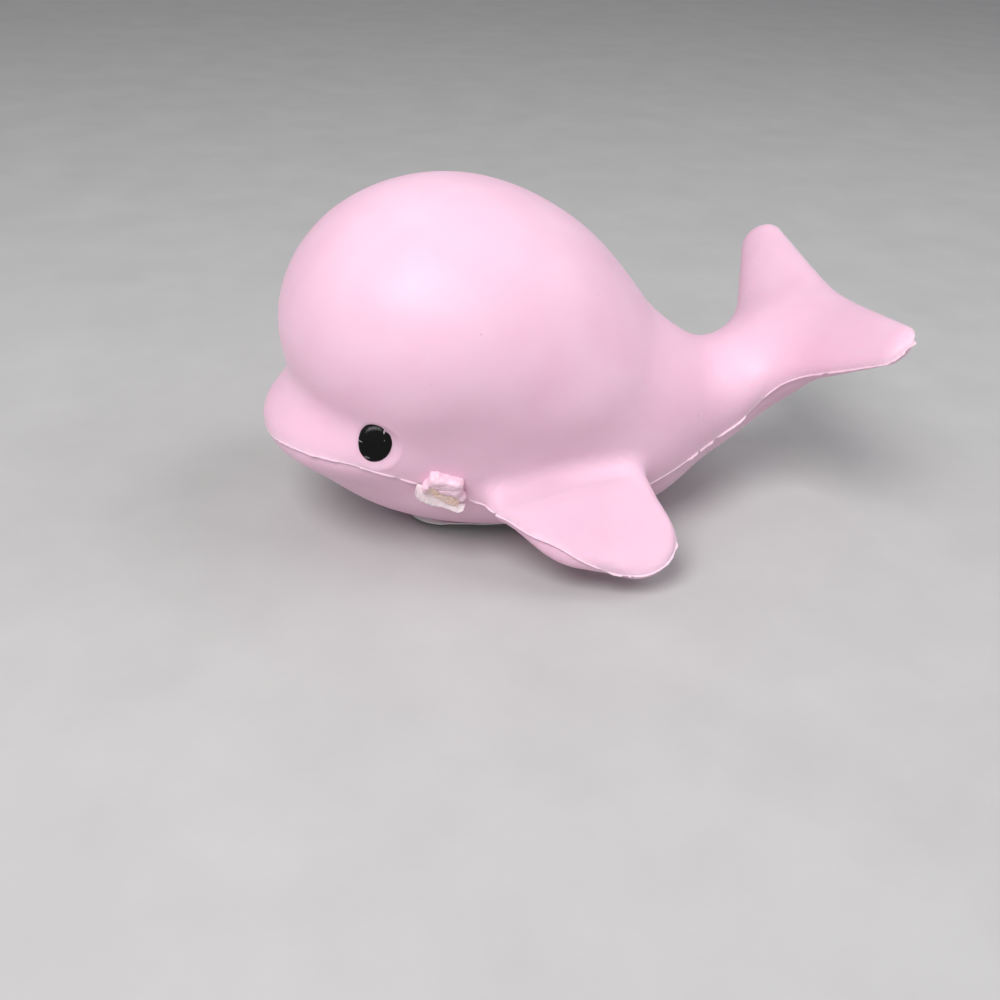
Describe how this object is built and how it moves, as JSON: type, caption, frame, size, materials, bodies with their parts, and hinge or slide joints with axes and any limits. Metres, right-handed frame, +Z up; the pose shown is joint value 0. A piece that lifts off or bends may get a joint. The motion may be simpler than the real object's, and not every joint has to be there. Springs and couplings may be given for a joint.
{
  "type": "whale squeeze toy",
  "caption": "Soft slow-rise foam whale with a round back, beak, flippers and raised flukes; pink mould coat with parting-line flash and a torn filling gate",
  "frame": {"origin": "centre of the bottom of the bounding box, on the surface the belly rests on", "axes": "+X from beak to flukes, +Z up, the whale's left side towards -Y"},
  "size_m": [0.1129, 0.075, 0.0655],
  "materials": {
    "coat_pink": "matte satin moulded skin",
    "coat_pale": "torn thin skin",
    "foam": "open foam",
    "eye_black": "gloss paint, scuffed",
    "sticker": "blank coated paper"
  },
  "bodies": {
    "body": {"core_body": "foam", "skin_upper": "coat_pink", "skin_lower": "coat_pink", "flash_head": "coat_pink", "flash_side_left": "coat_pink", "flash_rear_left": "coat_pink", "flash_rear_right": "coat_pink", "eye_left": "eye_black", "eye_right": "eye_black", "gate_foam": "foam", "gate_lump": "coat_pink", "gate_flap": "coat_pale", "belly_sticker": "sticker", "tail_root": "coat_pink", "flipper_root_left": "coat_pink", "flipper_root_right": "coat_pink"},
    "crown": {"core_crown": "foam"},
    "tail": {"core_tail": "foam", "skin_tail_upper": "coat_pink", "skin_tail_lower": "coat_pink", "flash_tail_left": "coat_pink", "flash_tail_right": "coat_pink", "fluke_root_left": "coat_pink", "fluke_root_right": "coat_pink"},
    "fluke_left": {"core_fluke_left": "foam", "skin_fluke_left_upper": "coat_pink", "skin_fluke_left_lower": "coat_pink", "flash_fluke_left": "coat_pink"},
    "fluke_right": {"core_fluke_right": "foam", "skin_fluke_right_upper": "coat_pink", "skin_fluke_right_lower": "coat_pink", "flash_fluke_right": "coat_pink"},
    "flipper_left": {"core_flipper_left": "foam", "skin_flipper_left_upper": "coat_pink", "skin_flipper_left_lower": "coat_pink", "flash_flipper_left": "coat_pink"},
    "flipper_right": {"core_flipper_right": "foam", "skin_flipper_right_upper": "coat_pink", "skin_flipper_right_lower": "coat_pink", "flash_flipper_right": "coat_pink"}
  },
  "joints": [
    {"name": "squeeze", "type": "slide", "parent": "body", "child": "crown", "axis": [0, 0, -1], "range_m": [0, 0.018], "stiffness_N_per_m": 350, "deforming": ["core_body", "skin_upper"]},
    {"name": "tail_flex", "type": "hinge", "parent": "body", "child": "tail", "pos_m": [0.02875, 0, 0.0208], "axis": [0, -1, 0], "range_deg": [-15, 25], "stiffness_Nm_per_rad": 0.2, "deforming": ["tail_root"]},
    {"name": "fluke_left_flex", "type": "hinge", "parent": "tail", "child": "fluke_left", "pos_m": [0.04916, -0.01275, 0.03712], "axis": [-0.76, 0, -0.65], "range_deg": [-15, 20], "stiffness_Nm_per_rad": 0.05, "deforming": ["fluke_root_left"]},
    {"name": "fluke_right_flex", "type": "hinge", "parent": "tail", "child": "fluke_right", "pos_m": [0.04916, 0.01275, 0.03712], "axis": [0.76, 0, 0.65], "range_deg": [-15, 20], "stiffness_Nm_per_rad": 0.05, "deforming": ["fluke_root_right"]},
    {"name": "flipper_left_flex", "type": "hinge", "parent": "body", "child": "flipper_left", "pos_m": [-0.00088, -0.02621, 0.01518], "axis": [-0.989, -0.148, 0], "range_deg": [-10, 20], "stiffness_Nm_per_rad": 0.06, "deforming": ["flipper_root_left"]},
    {"name": "flipper_right_flex", "type": "hinge", "parent": "body", "child": "flipper_right", "pos_m": [-0.00088, 0.02621, 0.01518], "axis": [0.989, -0.148, 0], "range_deg": [-10, 20], "stiffness_Nm_per_rad": 0.06, "deforming": ["flipper_root_right"]}
  ]
}
